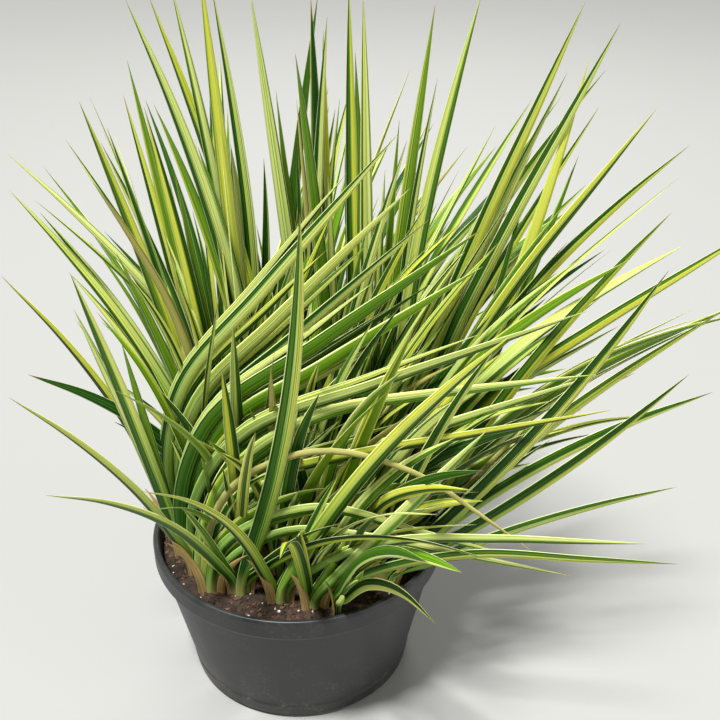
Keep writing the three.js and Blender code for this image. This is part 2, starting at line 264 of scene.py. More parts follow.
veins, nodes, given, out = shader_group(
    "Veins",
    {
        "Across": ("Float", 0.0),
        "Along": ("Float", 0.0),
        "Seed": ("Float", 0.0),
        "Lines": ("Float", 14.0),
        "Stretch": ("Float", 1.0),
    },
    {"Amount": "Float"},
)
crosswise = nodes.times(given["Across"], given["Lines"])
lengthwise = nodes.times(given["Along"], given["Stretch"])
depth = nodes.times(given["Seed"], 91.7)
place = nodes.first("ShaderNodeCombineXYZ", {0: crosswise, 1: lengthwise, 2: depth})
lines = nodes.first("ShaderNodeTexNoise", {"Vector": place, "Scale": 1.0, "Detail": 1.5})
nodes.tree.links.new(nodes.ramp(lines, 0.32, 0.68), out["Amount"])
print("groups:", mottle.name, veins.name)

# %% [markdown]
# ## The leaf's finish
#
# Every leaf is striped along its length: a green band on one side or down the middle, a ground of butter
# yellow or cream, and a hair-thin pale edge. No two are alike. Each leaf carries its own numbers as
# attributes: *stripe* holds where the green band lies, its half width and how strong a second line on the
# other side is, and *tone* holds how golden the ground is, how deep the green and how dry the leaf is.
#
# Seen closely neither ground nor band is one colour. The ground runs from cream to gold in long streaks. A
# thin dark line follows the band's border, a soft green veil lies beside it, and a few stray green lines run
# through the ground. All of these are masks made from how far a point is from the band and from long,
# stretched noise, and each is blended in over the last one. Low down, where its neighbours shade it, shade
# is
# painted into the colour: the leaf is made darker and greener there. Young green leaves have more gloss, and
# dry ones have none.

# %% Make the masks of the leaf's stripes
leaf_finish, nodes, leaf_shader = new_material("striped_leaf")


def attribute(nodes, name, output="Fac"):
    return nodes.add("ShaderNodeAttribute", attribute_name=name).outputs[output]


across = attribute(nodes, "across")
along = attribute(nodes, "along")
seed = attribute(nodes, "leaf_seed")
stripe = nodes.parts(attribute(nodes, "stripe", "Vector"))
tone = nodes.parts(attribute(nodes, "tone", "Vector"))


def leaf_veins(lines, stretch, other_seed=0.0):
    """Lines along the leaf. Another seed gives lines that lie apart from the first ones."""
    leaf_seed = nodes.math("ADD", seed, other_seed)
    inputs = {"Across": across, "Along": along, "Seed": leaf_seed, "Lines": lines, "Stretch": stretch}
    return use_group(nodes, veins, inputs)[0]


fine_veins = leaf_veins(15.0, 1.4)
broad_veins = leaf_veins(5.0, 0.9)
long_lines = leaf_veins(7.5, 0.4, other_seed=3.1)
warm_lines = leaf_veins(2.4, 0.7, other_seed=5.3)

frayed = nodes.swayed(nodes.swayed(across, broad_veins, 0.26), fine_veins, 0.1)
from_band = nodes.gap(frayed, stripe[0])
from_band = nodes.math("SUBTRACT", from_band, stripe[1])
softness = nodes.math("MULTIPLY_ADD", nodes.math("POWER", seed, 3.0), 0.14, 0.03)
band = nodes.ramp(from_band, softness, nodes.times(softness, -1.0))
veil = nodes.times(nodes.ramp(from_band, 0.5, 0.0), nodes.ramp(long_lines, 0.25, 0.7, 0.0, 0.75))
border = nodes.ramp(nodes.math("ABSOLUTE", nodes.math("ADD", from_band, 0.06)), 0.1, 0.03, 0.0, 0.75)
border = nodes.times(border, nodes.ramp(long_lines, 0.2, 0.6))
stray = nodes.ramp(long_lines, 0.9, 0.98, 0.0, 0.8)
other_side = nodes.times(nodes.math("SIGN", stripe[0]), -0.8)
from_line = nodes.gap(across, other_side)
line = nodes.times(nodes.ramp(from_line, 0.16, 0.04), stripe[2])
from_middle = nodes.math("ABSOLUTE", across)
edge = nodes.ramp(from_middle, 0.88, 0.97)
from_rim = nodes.gap(from_middle, 0.82)
rim_line = nodes.times(nodes.ramp(from_rim, 0.08, 0.03), band)
print("masks made")

# %% Blend the leaf's colours
VEIN_GREEN = paint(140, 182, 58)
YOUNG_GREEN = paint(146, 172, 30)
VEIL_GREEN = paint(100, 154, 38)
LINE_GREEN = paint(60, 110, 28)
BORDER_GREEN = paint(16, 56, 10)
PALE_EDGE = paint(246, 250, 184)
LEAF_SHADE = paint(88, 156, 54)
PALE_SHEATH = paint(196, 196, 118)
BROWN_TIP = paint(164, 124, 58)

cream = nodes.blend(fine_veins, paint(212, 220, 126), paint(238, 244, 164))
golden = nodes.blend(fine_veins, paint(208, 204, 40), paint(234, 230, 78))
light_green = nodes.blend(fine_veins, paint(70, 134, 14), paint(124, 178, 46))
dark_green = nodes.blend(fine_veins, paint(3, 38, 2), paint(14, 74, 8))
withered = nodes.blend(fine_veins, paint(128, 98, 52), paint(200, 176, 112))
warmth = nodes.swayed(tone[0], warm_lines, 0.8, clamp=True)
ground = nodes.blend(warmth, cream, golden)
ground = nodes.blend(nodes.times(broad_veins, 0.45), ground, VEIN_GREEN)
light_green = nodes.blend(nodes.times(tone[0], 0.55), light_green, YOUNG_GREEN)
depth = nodes.swayed(tone[1], long_lines, 0.5, clamp=True)
green = nodes.blend(depth, light_green, dark_green)
colour = nodes.blend(veil, ground, VEIL_GREEN)
colour = nodes.blend(nodes.math("MAXIMUM", stray, line), colour, LINE_GREEN)
colour = nodes.blend(band, colour, green)
colour = nodes.blend(nodes.math("MAXIMUM", border, rim_line), colour, BORDER_GREEN)
colour = nodes.blend(nodes.times(edge, 0.85), colour, PALE_EDGE)

# Painted shade: the lower part of each leaf is multiplied darker and greener, as where its neighbours shade
# it.
painted_shade_share = nodes.times(nodes.ramp(along, 0.66, 0.12), 0.8)
colour = nodes.blend(painted_shade_share, colour, LEAF_SHADE, "MULTIPLY")
sheath_share = nodes.ramp(along, 0.12, 0.03)
colour = nodes.blend(nodes.times(sheath_share, 0.6), colour, PALE_SHEATH)
tip_share = nodes.times(nodes.ramp(along, 0.955, 1.0), nodes.ramp(seed, 0.35, 0.8))
colour = nodes.blend(nodes.times(tip_share, 0.8), colour, BROWN_TIP)
colour = nodes.blend(tone[2], colour, withered)
young_green = nodes.times(band, nodes.ramp(tone[1], 0.55, 0.3))
sheen = nodes.math("MULTIPLY_ADD", young_green, -0.18, 0.5)
rough = nodes.math("MULTIPLY_ADD", tone[2], 0.4, sheen)
relief = nodes.math("MULTIPLY_ADD", fine_veins, 0.3, broad_veins)
dress(nodes, leaf_shader, colour, rough, relief, strength=0.4, distance=0.3 * MM)
leaf_shader.inputs["Subsurface Weight"].default_value = 0.12
leaf_shader.inputs["Subsurface Radius"].default_value = (0.9, 1.0, 0.15)
leaf_shader.inputs["Subsurface Scale"].default_value = 1.5 * MM
leaf_shader.inputs["Specular IOR Level"].default_value = 0.2
print("material:", leaf_finish.name, len(nodes.tree.nodes), "nodes")

# %% [markdown]
# ## The shape of a leaf
#
# A sweet flag leaf is a thin lens in section with two keen edges and no midrib, and it is folded a little
# along its middle. It is thick and fleshy where it clasps its fan, holds its width for most of its length
# and runs out in a long point. Geometry Nodes can sweep such a section: the tree below takes the courses of
# all leaves of a fan as chains of points, smooths them, sweeps a ring along each and then puts every corner
# of the ring where the leaf's own side and facing directions say. The ring's own places stay behind as the
# attribute *across*, which the stripes follow.

# %% Build the tree that sweeps leaves
LEAST_HALF_WIDTH = 0.06 * MM
LEAST_HALF_THICKNESS = 0.05 * MM

sweep, sweep_sockets, nodes, given = geometry_tree(
    "Sweep leaves",
    {
        "Courses": ("Geometry", None),
        "Rows": ("Int", 34),
        "Section corners": ("Int", 10),
        "Crease": ("Float", 0.16),
        "Finish": ("Material", None),
    },
    "Leaves",
)


def stored(nodes, geometry, name, value, data_type="FLOAT"):
    inputs = {"Geometry": geometry, "Name": name, "Value": value}
    kind = "GeometryNodeStoreNamedAttribute"
    return nodes.first(kind, inputs, data_type=data_type, domain="POINT")


def named(nodes, name, data_type="FLOAT"):
    return nodes.first("GeometryNodeInputNamedAttribute", {"Name": name}, data_type=data_type)


curves = nodes.first("GeometryNodeMeshToCurve", {"Mesh": given["Courses"]})
curves = nodes.first("GeometryNodeCurveSplineType", {"Curve": curves}, spline_type="CATMULL_ROM")
curves = nodes.first("GeometryNodeResampleCurve", {"Curve": curves, "Count": given["Rows"]})
factor = nodes.add("GeometryNodeSplineParameter").outputs["Factor"]
curves = stored(nodes, curves, "along", factor)
position = nodes.first("GeometryNodeInputPosition")
curves = stored(nodes, curves, "centre", position, "FLOAT_VECTOR")
unit_ring = {"Resolution": given["Section corners"], "Radius": 1.0}
ring = nodes.first("GeometryNodeCurvePrimitiveCircle", unit_ring)
corner = nodes.parts(position)
ring = stored(nodes, ring, "across", corner[0])
ring = stored(nodes, ring, "lens", corner[1])
closed = {"Curve": curves, "Profile Curve": ring, "Fill Caps": True}
swept = nodes.first("GeometryNodeCurveToMesh", closed)


def scaled(nodes, vector, factor):
    return nodes.first("ShaderNodeVectorMath", {0: vector, "Scale": factor}, operation="SCALE")


def summed(nodes, first, second):
    return nodes.first("ShaderNodeVectorMath", {0: first, 1: second}, operation="ADD")


half_width = nodes.math("MAXIMUM", named(nodes, "half_width"), LEAST_HALF_WIDTH)
half_thickness = nodes.math("MAXIMUM", named(nodes, "half_thickness"), LEAST_HALF_THICKNESS)
ring_across = named(nodes, "across")
sideways = nodes.times(ring_across, half_width)
fold = nodes.math("SUBTRACT", 0.5, nodes.math("ABSOLUTE", ring_across))
fold = nodes.times(fold, nodes.times(half_width, given["Crease"]))
outwards = nodes.math("MULTIPLY_ADD", named(nodes, "lens"), half_thickness, fold)
placed = named(nodes, "centre", "FLOAT_VECTOR")
for direction, by in (("side", sideways), ("facing", outwards)):
    placed = summed(nodes, placed, scaled(nodes, named(nodes, direction, "FLOAT_VECTOR"), by))
swept = nodes.first("GeometryNodeSetPosition", {"Geometry": swept, "Position": placed})
swept = nodes.first("GeometryNodeSetShadeSmooth", {"Geometry": swept})
end_tree(nodes, swept, given["Finish"])
print("tree:", sweep.name, len(sweep.nodes), "nodes")

# %% [markdown]
# ## Reading the courses from the solids
#
# A fan's solid is a foot with blades of triangular section. A blade's tip is the only kind of corner where
# three edges meet in a sharp point: there the edges all pull the same way, so the sum of their directions
# is nearly three long. From it the blade can be walked down, three corners at a time, to the top of the
# foot. In each ring the two corners furthest apart are the blade's edges and the third is its ridge, which
# shows the way that the blade faces.

# %% Walk the blades of a solid
FOOT_TOP = 112 * MM
WELD = 0.01 * MM
LEVEL = 0.1 * MM
SHARP_PULL = 2.9


def read_ring(corners, direction):
    """The centre, side, facing and width of a blade at one ring of its solid."""
    pairs = ((0, 1, 2), (1, 2, 0), (2, 0, 1))
    a, b, c = max(pairs, key=lambda p: (corners[p[0]] - corners[p[1]]).length)
    middle = (corners[a] + corners[b]) / 2
    rise = corners[c] - middle
    facing = (rise - rise.dot(direction) * direction).normalized()
    return middle + rise / 3, direction.cross(facing), facing, (corners[a] - corners[b]).length


def blades_of(node):
    """Every blade of a fan, from left to right: its stations [centre, side, facing, width] and its tip."""
    solid = bmesh.new()
    solid.from_mesh(node.data)
    bmesh.ops.remove_doubles(solid, verts=solid.verts, dist=WELD)
    blades = []
    for tip in solid.verts:
        near = [edge.other_vert(tip) for edge in tip.link_edges]
        pull = sum(((v.co - tip.co).normalized() for v in near), Vector())
        if len(near) != 3 or pull.length < SHARP_PULL:
            continue
        ring, above, rings = set(near), {tip}, []
        while len(ring) == 3 and any(abs(v.co.z - FOOT_TOP) > LEVEL for v in ring):
            rings.append([v.co.copy() for v in ring])
            below = {edge.other_vert(v) for v in ring for edge in v.link_edges} - ring - above
            ring, above = below, ring
        root = sum((v.co for v in ring), Vector()) / len(ring)
        centres = [tip.co.copy()] + [sum(corners, Vector()) / 3 for corners in rings] + [root]
        stations = []
        for i, corners in enumerate(rings, 1):
            direction = (centres[i - 1] - centres[i + 1]).normalized()
            stations.append(read_ring(corners, direction))
        blades.append({"root": root, "stations": stations[::-1], "tip": tip.co.copy()})
    solid.free()
    return sorted(blades, key=lambda blade: blade["root"].x)


blades = {name: blades_of(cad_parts[name]) for name in fans}
print("blades:", {name.removeprefix("leaf_fan_"): len(found) for name, found in blades.items()})
print("stations:", sorted({len(b["stations"]) for found in blades.values() for b in found}))

# %% [markdown]
# ## From a blade to the course of a leaf
#
# The solid gives only a few stations, so the course between them is drawn with a smooth curve. Below the
# top of the foot the leaf goes on down into the mix, slim and thick, because there it clasps the next one.
# The living width law is kept: the leaf opens within an eighth of its length, stays nearly as wide, and then
# tapers faster and faster to the point. The solid's blades are a little slimmer than real leaves, so that
# they stand clear of each other; LEAF_SPREAD gives the leaves their true width again.


# %% Draw smooth courses
def smooth_rows(shares, rows, wanted):
    """Rows of numbers known at some shares of a course, read at other shares on a smooth curve."""
    rows = np.asarray(rows, float)
    slopes = np.gradient(rows, shares, axis=0)
    left = np.clip(np.searchsorted(shares, wanted) - 1, 0, len(shares) - 2)
    span = (shares[left + 1] - shares[left])[:, None]
    x = (wanted - shares[left])[:, None] / span
    start = (1 + 2 * x) * (1 - x) ** 2 * rows[left] + x * (1 - x) ** 2 * span * slopes[left]
    end = x * x * (3 - 2 * x) * rows[left + 1] + x * x * (x - 1) * span * slopes[left + 1]
    return start + end


def unit(rows):
    return rows / np.linalg.norm(rows, axis=1, keepdims=True)


def ease(x):
    x = np.clip(x, 0, 1)
    return x * x * (3 - 2 * x)


SHEATH_DEPTH = 19 * MM
SHEATH_HALF_WIDTH = 3.2 * MM
SHEATH_HALF_THICKNESS = 1.25 * MM
# The share by which a leaf's buried foot is drawn towards the fan's middle.
GATHERED = 0.22
# The shares of its free length within which a leaf has opened, and has thinned.
OPENING = 0.12
THINNING = 0.7
HALF_THICKNESS = 0.75 * MM
THINNED = 0.3 * MM
# How late a leaf tapers, and how late a companion moves away from its leaf.
TAPER_POWER = 4.2
DRIFT_POWER = 1.4
COURSE_POINTS = np.linspace(0, 1, 22)
LEAF_SPREAD = 1.13


def fan_frame(found):
    """The middle of a fan's foot, the direction of its plane and its front, all level."""
    roots = np.array([blade["root"] for blade in found])
    sides = np.array([blade["stations"][0][1] for blade in found])
    middle = roots.mean(axis=0)
    plane = unit((sides * [1, 1, 0]).sum(axis=0)[None])[0]
    return middle, plane, np.array([plane[1], -plane[0], 0])


def course_of(blade, middle, plane, front):
    """The whole course of a blade's leaf from under the mix to its tip."""
    root = np.array(blade["root"])
    base = root + GATHERED * (middle - root) - [0, 0, SHEATH_DEPTH]
    centres, sides, facings, widths = zip(*blade["stations"])
    places = np.array([base, root, *centres, blade["tip"]])
    turned = 1 if facings[0].dot(Vector(front)) > 0 else -1
    steps = np.linalg.norm(np.diff(places, axis=0), axis=1)
    reach = np.concatenate([[0], np.cumsum(steps)])
    return {
        "shares": reach / reach[-1],
        "places": places,
        "sides": np.array([turned * plane, turned * plane, *sides, sides[-1]]),
        "facings": np.array([turned * front, turned * front, *facings, facings[-1]]),
        "buried": reach[1] / reach[-1],
        "half_width": widths[0] / 2,
    }


def leaf_along(course, reach=1.0, drift=(0, 0), roll=0.0, width=1.0, start=(0, 0)):
    """A leaf's points along a course. A companion ends at reach, drifts sideways and forward and rolls."""
    wanted = COURSE_POINTS * reach
    known = (course["places"], course["sides"], course["facings"])
    at, side, facing = (smooth_rows(course["shares"], rows, wanted) for rows in known)
    side = unit(side)
    facing = unit(facing - (facing * side).sum(axis=1, keepdims=True) * side)
    free = np.clip((COURSE_POINTS - course["buried"]) / (1 - course["buried"]), 0, 1)[:, None]
    at = at + side * (start[0] * (1 - free) + drift[0] * free**DRIFT_POWER)
    at = at + facing * (start[1] * (1 - free) + drift[1] * free**DRIFT_POWER)
    turn = roll * free
    side, facing = side * np.cos(turn) + facing * np.sin(turn), facing * np.cos(turn) - side * np.sin(turn)
    free = free[:, 0]
    opening, taper = ease(free / OPENING), 1 - free**TAPER_POWER
    broad = course["half_width"] * width * LEAF_SPREAD
    half_width = (SHEATH_HALF_WIDTH + (broad - SHEATH_HALF_WIDTH) * opening) * taper
    thin = HALF_THICKNESS - THINNED * ease(free / THINNING)
    half_thickness = (SHEATH_HALF_THICKNESS + (thin - SHEATH_HALF_THICKNESS) * opening) * np.sqrt(taper)
    return at, side, facing, half_width, half_thickness


print("courses are read at", len(COURSE_POINTS), "points")

# %% [markdown]
# ## Stripes, leaf by leaf
#
# The looks are named as a gardener would see them from the front. A look holds the leaf's *stripe* and its
# *tone*. The fans that the picture shows best take the looks it shows, from left to right; every other leaf
# draws one, mostly a golden or creamy ground with a green side.

# %% Name the looks
# Each look is (where the green lies, its half width, second line), (golden, deep green, dry).
LOOKS = {
    "cream, green left": ((-0.66, 0.44, 0.35), (0.12, 0.8, 0)),
    "cream, green right": ((0.66, 0.44, 0.35), (0.12, 0.8, 0)),
    "cream, thin greens": ((-0.66, 0.16, 0.9), (0.1, 0.8, 0)),
    "gold, green left": ((-0.64, 0.44, 0.3), (0.8, 0.85, 0)),
    "gold, green right": ((0.64, 0.44, 0.3), (0.8, 0.85, 0)),
    "gold, dark middle": ((0.1, 0.26, 0.0), (0.75, 0.95, 0)),
    "gold": ((-0.92, 0.16, 0.3), (1, 0.5, 0)),
    "cream": ((0.9, 0.16, 0.4), (0.1, 0.4, 0)),
    "half and half": ((-0.48, 0.54, 0.0), (0.35, 0.8, 0)),
    "gold half": ((-0.5, 0.54, 0.0), (0.8, 0.95, 0)),
    "green, cream edge": ((-0.12, 0.76, 0.0), (0.2, 0.85, 0)),
    "soft green": ((0.25, 0.74, 0.2), (0.4, 0.35, 0)),
    "glossy green": ((0.06, 0.86, 0.0), (0.6, 0.3, 0)),
    "dark green": ((0.0, 0.98, 0.0), (0.4, 0.9, 0)),
    "olive": ((0.2, 0.66, 0.4), (1, 0.35, 0)),
    "pale": ((0.5, 0.3, 0.0), (0.0, 0.05, 0)),
    "tan": ((0.7, 0.2, 0.0), (0.25, 0.5, 0.55)),
    "dry": ((0.0, 0.0, 0.0), (0.3, 0.5, 1)),
}
OFTEN = ["cream, green left", "cream, green right", "half and half", "green, cream edge"]
SOMETIMES = ["soft green", "soft green", "gold, green left", "gold, green right"]
SOMETIMES += ["gold half", "gold, dark middle"]
SELDOM = ["cream, thin greens", "olive", "glossy green", "dark green"]
ONCE = ["gold", "cream", "dark green", "pale", "tan"]
COMMON = OFTEN * 4 + SOMETIMES * 2 + SELDOM * 2 + ONCE
SHOWN = {
    "back_far_left": ["cream, thin greens", "gold, green left", "olive", "gold, green right"],
    "back_left": ["cream", "cream, green left", "gold, green left", "half and half"],
    "back_middle_left": ["cream, thin greens", "gold", "half and half", "dark green", "olive"],
    "back_middle": ["cream", "cream, green left", "dark green", "glossy green"],
    "back_middle_right": ["gold, green left", "cream, thin greens", "olive", "half and half"],
    "back_right": ["cream, green right", "gold, green left", "cream, green left", "gold, green left"],
    "right": ["gold, green right", "gold, green left", "gold", "olive"],
    "left": ["gold, green left", "cream, green left", "cream", "cream, green left"],
    "left_front": ["half and half", "glossy green", "glossy green", "cream, green right"],
    "front_left": ["gold, green left", "pale", "gold, green right", "pale"],
    "front_low": ["tan", "cream, green right", "pale"],
    "front_upright": ["half and half", "half and half", "gold, green left"],
    "front_middle": ["gold, green left", "gold, green right", "cream, green right"],
    "front": ["gold, green right", "pale", "gold, green left"],
    "front_right": ["half and half", "gold half", "gold half", "cream, green left"],
    "front_far_right": ["gold half", "gold, green left", "half and half"],
}
print("looks:", len(LOOKS))

# %% [markdown]
# ## Growing the fans
#
# Each blade of the solid becomes one leaf. Between them a real clump is fuller than a handful of solids can
# show, so each leaf has one or two narrower companions from the same sheath, which keep close to it and end
# a little lower. In the fans that the picture shows best they stay behind their leaf, and in all fans at the
# front they are much shorter, so that the long arcs behind them stay in sight. A short young leaf stands in
# the middle of the fan, and dry husks of old leaves clasp its foot. All leaves of one fan are swept together
# and become one plain mesh that stands for the fan's solid.

# %% Collect the points of a fan's leaves
# How far a leaf's stripe and tone may be from those of its look.
BAND_MOVED = 0.1
BAND_STRETCHED = 0.2
OTHER_GOLD = 0.15
OTHER_DEPTH = 0.2


class Fan:
    """The courses of one fan's leaves, as chains of points with their attributes."""

    def __init__(self):
        self.places, self.edges, self.attributes = [], [], {}
        self.leaves = 0

    def add(self, leaf, look, chance):
        at, side, facing, half_width, half_thickness = leaf
        (green_at, green_half, second), (golden, deep, dry) = LOOKS[look]
        count, first = len(at), len(self.places)
        self.places.extend(at)
        self.edges.extend((first + i, first + i + 1) for i in range(count - 1))
        green_at += chance.uniform(-BAND_MOVED, BAND_MOVED)
        green_half *= chance.uniform(1 - BAND_STRETCHED, 1 + BAND_STRETCHED)
        golden = min(1, max(0, golden + chance.uniform(-OTHER_GOLD, OTHER_GOLD)))
        deep = min(1, max(0, deep + chance.uniform(-OTHER_DEPTH, OTHER_DEPTH)))
        for key, rows in (
            ("side", side),
            ("facing", facing),
            ("half_width", half_width),
            ("half_thickness", half_thickness),
            ("stripe", [(green_at, green_half, second)] * count),
            ("tone", [(golden, deep, dry)] * count),
            ("leaf_seed", [chance.random()] * count),
        ):
            self.attributes.setdefault(key, []).extend(rows)
        self.leaves += 1

    def mesh(self, name):
        mesh = bpy.data.meshes.new(name)
        mesh.from_pydata([tuple(p) for p in self.places], self.edges, [])
        for key, rows in self.attributes.items():
            kind, into = ("FLOAT", "value") if np.ndim(rows) == 1 else ("FLOAT_VECTOR", "vector")
            mesh.attributes.new(key, kind, "POINT").data.foreach_set(into, np.ravel(rows))
        return mesh


def made_plain(obj):
    """Turns what an object's modifiers make into its own plain mesh and takes the modifiers off."""
    bpy.context.view_layer.update()
    result = obj.evaluated_get(bpy.context.evaluated_depsgraph_get())
    mesh = bpy.data.meshes.new_from_object(result)
    obj.modifiers.clear()
    obj.data = mesh
    return obj


def with_tree(name, mesh, tree, sockets, values):
    """A new object whose mesh goes through a tree of Geometry Nodes, made plain."""
    obj = scene_object(name, mesh)
    modifier = obj.modifiers.new(tree.name, "NODES")
    modifier.node_group = tree
    for key, value in values.items():
        modifier[sockets[key]] = value
    return made_plain(obj)


HUSK_HEIGHT = (24, 52)
HUSK_FROM_MIDDLE = 5.4 * MM
HUSK_FORWARD = 1.2 * MM
HUSK_BURIED = 12 * MM
HUSK_HALF_WIDTH = 3.5 * MM
HUSK_HALF_THICKNESS = 0.55 * MM
# The share of its height by which a husk curls outwards.
HUSK_CURL = (0.25, 0.75)
UP = np.array([0, 0, 1])


def husk(middle, out, front, chance):
    """A dry old sheath at one end of a fan, curling away from it."""
    height = chance.uniform(*HUSK_HEIGHT) * MM
    forward = front * chance.choice((-1, 1))
    t = COURSE_POINTS[:, None]
    base = middle - SHEATH_DEPTH * UP + out * HUSK_FROM_MIDDLE + forward * HUSK_FORWARD
    curl = chance.uniform(*HUSK_CURL) * height
    at = base + UP * (height + HUSK_BURIED) * t + (out * 0.8 + forward * 0.35) * curl * t**2.6
    rise = unit(np.gradient(at, axis=0))
    side = unit(np.cross(rise, forward[None]))
    facing = np.cross(side, rise)
    taper = 1 - COURSE_POINTS**3.0 * 0.94
    return at, side, facing, HUSK_HALF_WIDTH * taper, HUSK_HALF_THICKNESS * taper


# %% Name how companions and young leaves differ from their leaf
# The sides on which a leaf's companions stand, one entry drawn for each leaf.
COMPANION_SIDES = ((-1, 1), (-1, 1), (-1,), (1,), (-1, 1))
# How far a companion's or young leaf's foot and tip stand from the leaf's own, in millimetres.
FOOT_ASIDE = (0.2, 1.4)
FOOT_BEHIND = (0.8, 1.7)
TIP_ASIDE = (4, 15)
TIP_BEHIND = (2, 10)
TIP_EITHER_WAY = (-9, 9)
YOUNG_FOOT = 1
YOUNG_TIP = (-4, 4)
# How far a leaf turns about its own course, in radians.
ROLL = (-0.6, 0.6)
YOUNG_ROLL = 0.3
# Shares of the leaf's length and width.
REACH = (0.68, 0.95)
FRONT_REACH = (0.35, 0.62)
YOUNG_REACH = (0.3, 0.5)
COMPANION_WIDTH = (0.6, 0.9)
YOUNG_WIDTH = 0.6
SHRUNK = {"tan": 0.72}
YOUNG_LOOKS = ("glossy green", "pale", "gold, green left")
FIRST_SEED = 1000
# Fans nearer the viewer than the middle, and not further to a side than this, stand at the front.
FRONT_SIDE = 60 * MM
print("companions for a leaf:", sorted({len(sides) for sides in COMPANION_SIDES}))


# %% Grow every fan
def companion(course, side, behind, reaches, front, chance):
    """A narrower leaf beside the one whose course is given, and its look."""
    back = chance.uniform(*(TIP_BEHIND if behind else TIP_EITHER_WAY))
    if np.dot(course["facings"][0], front) > 0:
        back = -back
    drift = side * chance.uniform(*TIP_ASIDE) * MM, back * MM
    begin_side = side * chance.uniform(*FOOT_ASIDE) * MM
    begin = begin_side, math.copysign(chance.uniform(*FOOT_BEHIND), back) * MM
    roll = chance.uniform(*ROLL)
    reach, width = chance.uniform(*reaches), chance.uniform(*COMPANION_WIDTH)
    look = chance.choice(COMMON)
    return leaf_along(course, reach, drift, roll, width * SHRUNK.get(look, 1), begin), look


def young_leaf(course, chance):
    """A short leaf in the middle of its fan."""
    foot = YOUNG_FOOT * MM, -YOUNG_FOOT * MM
    tip = chance.uniform(*YOUNG_TIP) * MM, chance.uniform(*YOUNG_TIP) * MM
    return leaf_along(course, chance.uniform(*YOUNG_REACH), tip, YOUNG_ROLL, YOUNG_WIDTH, foot)


total = 0
for number, name in enumerate(fans):
    chance = random.Random(FIRST_SEED + number)
    found = blades[name]
    middle, plane, front = fan_frame(found)
    label = name.removeprefix("leaf_fan_")
    looks = SHOWN.get(label, [])
    in_front = label.startswith("front") or (middle[1] < 0 and abs(middle[0]) < FRONT_SIDE)
    fan = Fan()
    for i, blade in enumerate(found):
        course = course_of(blade, middle, plane, front)
        look = looks[i] if i < len(looks) else chance.choice(COMMON)
        fan.add(leaf_along(course, width=SHRUNK.get(look, 1)), look, chance)
        for side in chance.choice(COMPANION_SIDES):
            reaches = FRONT_REACH if in_front else REACH
            fan.add(*companion(course, side, bool(looks), reaches, front, chance), chance)
        if i == len(found) // 2:
            fan.add(young_leaf(course, chance), chance.choice(YOUNG_LOOKS), chance)
    for out in (-plane, plane):
        fan.add(husk(middle, out, front, chance), "dry", chance)
    piece = with_tree(f"{name}_leaves", fan.mesh(name), sweep, sweep_sockets, {"Finish": leaf_finish})
    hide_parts(name)
    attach(piece, "root")
    total += fan.leaves
print("leaves:", total)

# %% [markdown]
# ## Turning the pot and the mix
#
# A moulded pot is a profile turned round an axis, and so is the body of mix that fills it. The tree below
# is a lathe: it rounds the profile's corners, sweeps it round a circle and welds it where it meets the axis.
# The real pot is one thin wall with a stout rim band to lift it by and holes in its floor, so the profile
# runs up the outside, over the rim and down the inside.

# %% Build the lathe
lathe, lathe_sockets, nodes, given = geometry_tree(
    "Turn a profile",
    {
        "Profile": ("Geometry", None),
        "Segments": ("Int", 144),
        "Corner radius": ("Float", 0.8 * MM),
        "Corner steps": ("Int", 4),
        "Finish": ("Material", None),
    },
    "Turned",
)
profile = nodes.first("GeometryNodeMeshToCurve", {"Mesh": given["Profile"]})
corners = {"Curve": profile, "Radius": given["Corner radius"], "Count": given["Corner steps"]}
profile = nodes.first("GeometryNodeFilletCurve", {**corners, "Limit Radius": True}, mode="POLY")
position = nodes.first("GeometryNodeInputPosition")
profile = stored(nodes, profile, "at_radius", nodes.parts(position)[0])
profile = stored(nodes, profile, "at_height", nodes.parts(position)[2])
round_path = {"Resolution": given["Segments"], "Radius": 1.0}
circle = nodes.first("GeometryNodeCurvePrimitiveCircle", round_path)
circle = stored(nodes, circle, "turn", position, "FLOAT_VECTOR")
turned = nodes.first("GeometryNodeCurveToMesh", {"Curve": circle, "Profile Curve": profile})
out_to = scaled(nodes, named(nodes, "turn", "FLOAT_VECTOR"), named(nodes, "at_radius"))
up_to = nodes.first("ShaderNodeCombineXYZ", {2: named(nodes, "at_height")})
placed = summed(nodes, out_to, up_to)
turned = nodes.first("GeometryNodeSetPosition", {"Geometry": turned, "Position": placed})
turned = nodes.first("GeometryNodeMergeByDistance", {"Geometry": turned, "Distance": WELD})
turned = nodes.first("GeometryNodeSetShadeSmooth", {"Geometry": turned})
end_tree(nodes, turned, given["Finish"])


def profile_mesh(name, points):
    """A chain of [radius, height] points, in millimetres, as a mesh for the lathe."""
    mesh = bpy.data.meshes.new(name)
    chain = [(i, i + 1) for i in range(len(points) - 1)]
    mesh.from_pydata([(r * MM, 0, h * MM) for r, h in points], chain, [])
    return mesh


def facing_out(obj):
    """Turns a closed mesh's faces outwards."""
    shape = bmesh.new()
    shape.from_mesh(obj.data)
    bmesh.ops.recalc_face_normals(shape, faces=shape.faces)
    shape.to_mesh(obj.data)
    shape.free()


print("tree:", lathe.name, len(lathe.nodes), "nodes")

# %% [markdown]
# ## The pot's finish
#
# Nursery pots are moulded from recycled charcoal polypropylene. The wall is satin with a very fine grain and
# slow waves where the plastic cooled. A pot that has stood in a pond tray carries a thin bloom of lime and
# dried mud, more of it low down.

